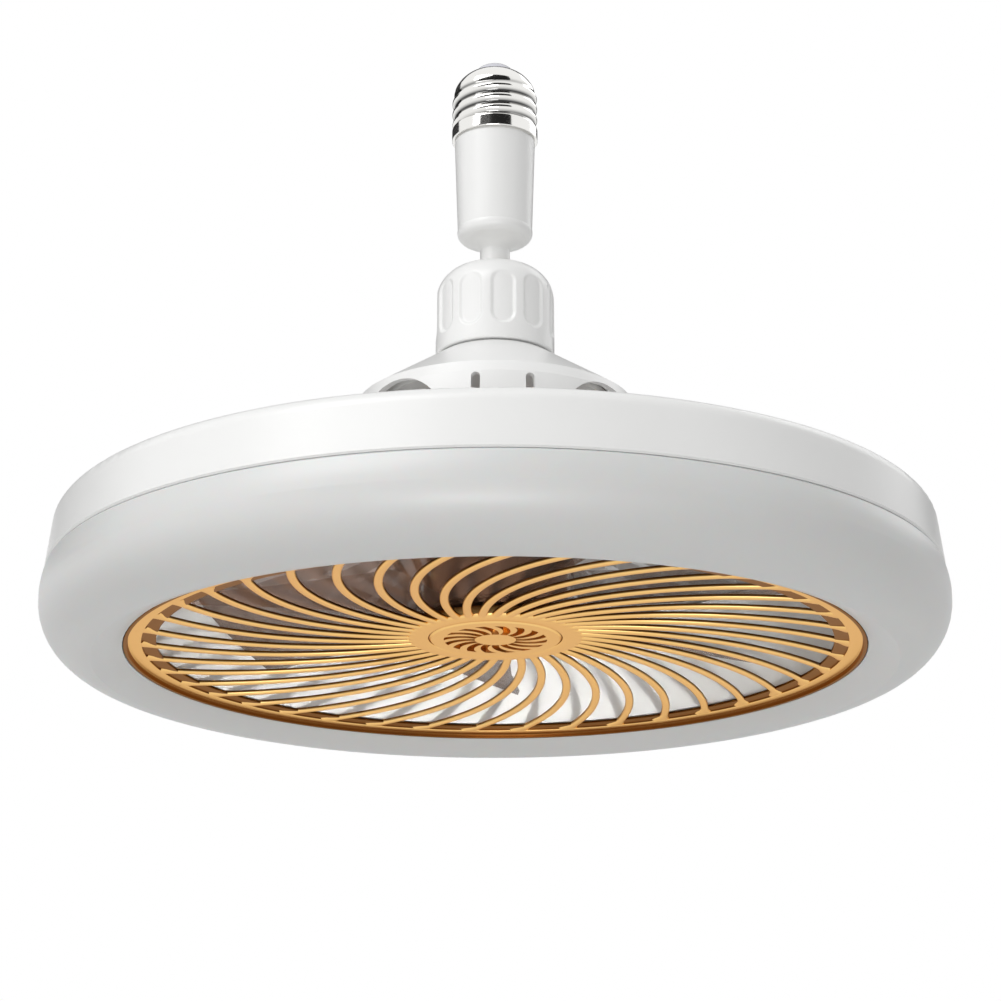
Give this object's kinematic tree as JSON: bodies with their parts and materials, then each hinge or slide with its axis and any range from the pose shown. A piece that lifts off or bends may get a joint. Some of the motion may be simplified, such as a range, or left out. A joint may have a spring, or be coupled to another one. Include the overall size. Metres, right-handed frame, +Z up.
{
  "type": "fan light bulb",
  "caption": "Screw-in ceiling fan and LED light: a threaded cap and ball joint carry a flat round head with an opal light ring, a swept gold grille and a fan behind it",
  "frame": {"origin": "middle of the screw cap's plain skirt, on its axis", "axes": "+Z up along the screw cap's axis, towards the lampholder; the head hangs below along -Z; +X and +Y level, with -Y the side seen in the picture"},
  "size_m": [0.2626, 0.2626, 0.1936],
  "materials": {
    "cap_metal": "bright nickel plate",
    "contact_metal": "tinned brass",
    "insulator": "glazed white insulator",
    "white_shell": "satin white moulding",
    "inner_white": "matt white moulding",
    "ball_metal": "turned steel",
    "nut_metal": "turned brass",
    "seat_nylon": "natural nylon",
    "lead_insulation": "soft insulation",
    "screw_steel": "zinc-plated steel",
    "driver_laminate": "green solder mask",
    "transformer_tape": "yellow winding tape",
    "capacitor_sleeve": "black sleeve",
    "chip_black": "black mould compound",
    "motor_base": "dark grey moulding",
    "stator_steel": "laminated steel",
    "copper_wire": "enamelled copper",
    "bearing_steel": "ground steel",
    "magnet": "sintered magnet",
    "fan_smoke": "smoke grey moulding",
    "led_laminate": "white solder mask on aluminium",
    "led_package": "phosphor over white package",
    "opal": "opal white moulding",
    "gold": "gold-plated moulding"
  },
  "bodies": {
    "adaptor": {"cap_shell": "cap_metal", "cap_insulator": "insulator", "cap_contact": "contact_metal", "adaptor_body": "white_shell", "ball_stem": "ball_metal", "stem_nut": "nut_metal", "mains_leads": "lead_insulation"},
    "seat_upper": {"ball_seat_upper": "seat_nylon"},
    "seat_lower": {"ball_seat_lower": "seat_nylon"},
    "head": {"turret": "white_shell", "top_cover": "white_shell", "turret_screws": "screw_steel", "driver_lid": "inner_white", "lid_screws": "screw_steel", "driver_board": "driver_laminate", "transformer": "transformer_tape", "capacitors": "capacitor_sleeve", "driver_chips": "chip_black", "motor_base": "motor_base", "stator_core": "stator_steel", "stator_windings": "copper_wire", "bearing_lower": "bearing_steel", "bearing_upper": "bearing_steel", "led_tray": "inner_white", "led_board": "led_laminate", "led_screws": "screw_steel", "led_chips": "led_package", "diffuser": "opal", "grille": "gold", "hub_cap": "gold", "motor_leads": "lead_insulation", "led_leads": "lead_insulation"},
    "nut": {"clamp_nut": "white_shell"},
    "rotor": {"fan": "fan_smoke", "rotor_ring": "bearing_steel", "magnet_ring": "magnet", "motor_shaft": "bearing_steel", "shaft_clip": "bearing_steel"}
  },
  "joints": [
    {"name": "head_twist", "type": "hinge", "parent": "adaptor", "child": "seat_upper", "pos_m": [0, 0, -0.04951], "axis": [0, 0, 1], "range_deg": [-170, 170], "deforming": ["mains_leads"]},
    {"name": "head_tilt_x", "type": "hinge", "parent": "seat_upper", "child": "seat_lower", "pos_m": [0, 0, -0.04951], "axis": [1, 0, 0], "range_deg": [-18, 18], "deforming": ["mains_leads"]},
    {"name": "head_tilt_y", "type": "hinge", "parent": "seat_lower", "child": "head", "pos_m": [0, 0, -0.04951], "axis": [0, 1, 0], "range_deg": [-18, 18], "deforming": ["mains_leads"]},
    {"name": "nut_turn", "type": "hinge", "parent": "head", "child": "nut", "pos_m": [0, 0, -0.06], "axis": [0, 0, 1], "range_deg": [0, 150]},
    {"name": "fan_spin", "type": "hinge", "parent": "head", "child": "rotor", "pos_m": [0, 0, -0.142], "axis": [0, 0, 1], "continuous": true}
  ]
}
